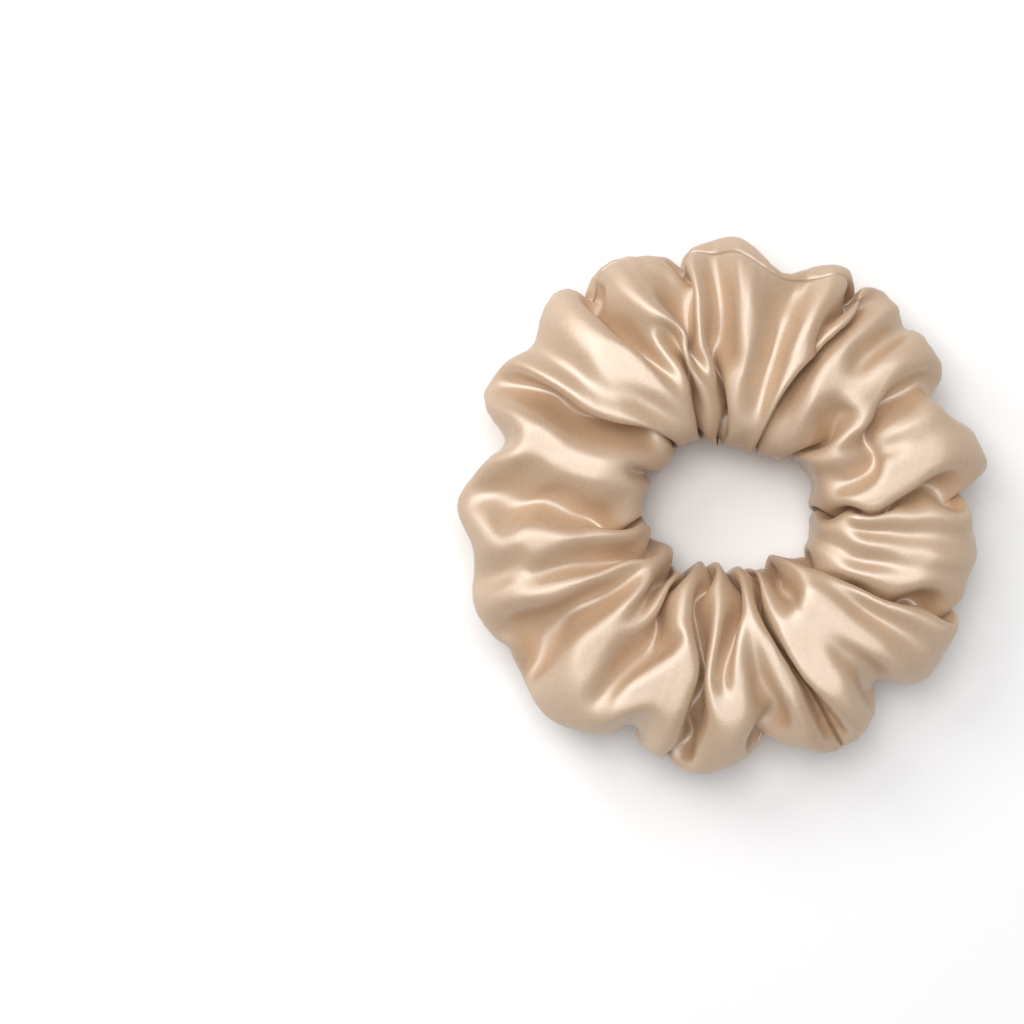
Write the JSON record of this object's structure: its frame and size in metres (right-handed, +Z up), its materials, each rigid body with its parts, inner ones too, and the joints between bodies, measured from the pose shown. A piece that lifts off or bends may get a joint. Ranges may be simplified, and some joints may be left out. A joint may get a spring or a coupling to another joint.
{
  "type": "scrunchie",
  "caption": "Large satin hair scrunchie: a gathered fabric ring over a flat elastic, which pulls open round a ponytail and springs back.",
  "frame": {"origin": "centre of the ring, on the surface it lies on", "axes": "+Z up, along the opening's axis; +X is the way the right arc moves when the loop is pulled open; +Y is the top of the ring as laid out"},
  "size_m": [0.131, 0.131, 0.036],
  "materials": {
    "satin": "champagne satin, warp-faced, soft sheen",
    "elastic": "knitted flat elastic, matt",
    "thread": "spun sewing thread, matt"
  },
  "bodies": {
    "left": {"cover_left": "satin", "elastic_left": "elastic", "seam_thread_left": "thread"},
    "right": {"cover_right": "satin", "elastic_right": "elastic", "elastic_lapped_end": "elastic", "elastic_join_thread": "thread", "seam_thread_right": "thread"},
    "top_1": {"cover_top_1": "satin", "elastic_top_1": "elastic", "seam_thread_top_1": "thread"},
    "top_2": {"cover_top_2": "satin", "elastic_top_2": "elastic", "seam_thread_top_2": "thread"},
    "top_3": {"cover_top_3": "satin", "elastic_top_3": "elastic", "seam_thread_top_3": "thread"},
    "top_4": {"cover_top_4": "satin", "elastic_top_4": "elastic", "seam_thread_top_4": "thread"},
    "top_5": {"cover_top_5": "satin", "elastic_top_5": "elastic", "seam_thread_top_5": "thread"},
    "bottom_1": {"cover_bottom_1": "satin", "elastic_bottom_1": "elastic", "seam_thread_bottom_1": "thread", "closing_seam_thread": "thread"},
    "bottom_2": {"cover_bottom_2": "satin", "elastic_bottom_2": "elastic", "seam_thread_bottom_2": "thread"},
    "bottom_3": {"cover_bottom_3": "satin", "elastic_bottom_3": "elastic", "seam_thread_bottom_3": "thread"},
    "bottom_4": {"cover_bottom_4": "satin", "elastic_bottom_4": "elastic", "seam_thread_bottom_4": "thread"},
    "bottom_5": {"cover_bottom_5": "satin", "elastic_bottom_5": "elastic", "seam_thread_bottom_5": "thread"}
  },
  "joints": [
    {"name": "stretch", "type": "slide", "parent": "left", "child": "right", "axis": [1, 0, 0], "range_m": [0, 0.06], "stiffness_N_per_m": 150},
    {"name": "stretch_top_1", "type": "slide", "parent": "left", "child": "top_1", "axis": [1, 0, 0], "range_m": [0, 0.0528]},
    {"name": "stretch_top_2", "type": "slide", "parent": "left", "child": "top_2", "axis": [1, 0, 0], "range_m": [0, 0.0432]},
    {"name": "stretch_top_3", "type": "slide", "parent": "left", "child": "top_3", "axis": [1, 0, 0], "range_m": [0, 0.03]},
    {"name": "stretch_top_4", "type": "slide", "parent": "left", "child": "top_4", "axis": [1, 0, 0], "range_m": [0, 0.0168]},
    {"name": "stretch_top_5", "type": "slide", "parent": "left", "child": "top_5", "axis": [1, 0, 0], "range_m": [0, 0.0072]},
    {"name": "stretch_bottom_1", "type": "slide", "parent": "left", "child": "bottom_1", "axis": [1, 0, 0], "range_m": [0, 0.0528]},
    {"name": "stretch_bottom_2", "type": "slide", "parent": "left", "child": "bottom_2", "axis": [1, 0, 0], "range_m": [0, 0.0432]},
    {"name": "stretch_bottom_3", "type": "slide", "parent": "left", "child": "bottom_3", "axis": [1, 0, 0], "range_m": [0, 0.03]},
    {"name": "stretch_bottom_4", "type": "slide", "parent": "left", "child": "bottom_4", "axis": [1, 0, 0], "range_m": [0, 0.0168]},
    {"name": "stretch_bottom_5", "type": "slide", "parent": "left", "child": "bottom_5", "axis": [1, 0, 0], "range_m": [0, 0.0072]}
  ],
  "couplings": [
    {"joint": "stretch_top_1", "follows": "stretch", "ratio": 0.88},
    {"joint": "stretch_top_2", "follows": "stretch", "ratio": 0.72},
    {"joint": "stretch_top_3", "follows": "stretch", "ratio": 0.5},
    {"joint": "stretch_top_4", "follows": "stretch", "ratio": 0.28},
    {"joint": "stretch_top_5", "follows": "stretch", "ratio": 0.12},
    {"joint": "stretch_bottom_1", "follows": "stretch", "ratio": 0.88},
    {"joint": "stretch_bottom_2", "follows": "stretch", "ratio": 0.72},
    {"joint": "stretch_bottom_3", "follows": "stretch", "ratio": 0.5},
    {"joint": "stretch_bottom_4", "follows": "stretch", "ratio": 0.28},
    {"joint": "stretch_bottom_5", "follows": "stretch", "ratio": 0.12}
  ]
}
